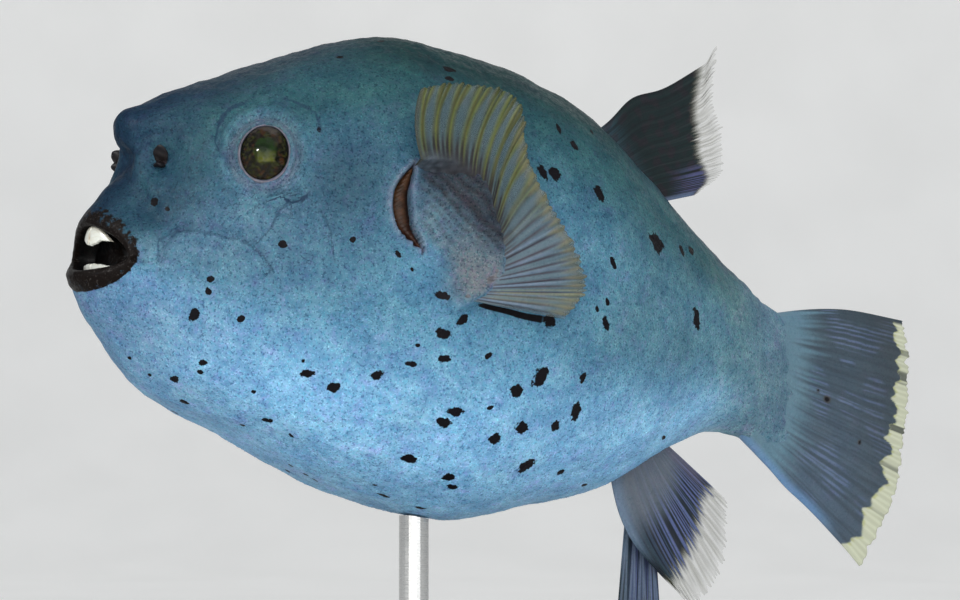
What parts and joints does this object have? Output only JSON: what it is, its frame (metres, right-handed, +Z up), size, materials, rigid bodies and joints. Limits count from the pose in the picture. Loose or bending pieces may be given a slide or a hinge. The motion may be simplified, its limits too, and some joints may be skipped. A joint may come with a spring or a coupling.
{
  "type": "blackspotted pufferfish model",
  "caption": "Swimming pufferfish with a plump round body, open beaked mouth, fan-shaped fins and spread tail, held over a rounded flat base by one short rod.",
  "frame": {"origin": "centre of the stand base's underside, on the floor, below the fish's balance point", "axes": "+Z up, +X from the mouth towards the tail, +Y to the fish's right"},
  "size_m": [0.2692, 0.1175, 0.2063],
  "materials": {
    "skin": "satin, finely rough",
    "lip_skin": "satin, moist",
    "dark_fin": "satin",
    "grey_fin": "satin",
    "tan_fin": "satin",
    "tooth": "smooth, slightly glossy",
    "eye": "wet gloss",
    "nose_flesh": "satin",
    "gill_flesh": "moist",
    "base_wood": "satin varnish",
    "rod_steel": "satin"
  },
  "bodies": {
    "root": {"head": "skin", "trunk": "skin", "tail_stalk": "skin", "lips": "lip_skin", "upper_teeth": "tooth", "lower_teeth": "tooth", "eye_left": "eye", "eye_right": "eye", "nostril_left": "nose_flesh", "nostril_right": "nose_flesh", "gill_left": "gill_flesh", "gill_right": "gill_flesh", "pectoral_fin_left": "tan_fin", "pectoral_fin_right": "tan_fin", "dorsal_fin": "dark_fin", "anal_fin": "grey_fin", "caudal_fin": "grey_fin", "stand_base": "base_wood", "stand_rod": "rod_steel", "stand_collar": "rod_steel"}
  },
  "joints": []
}
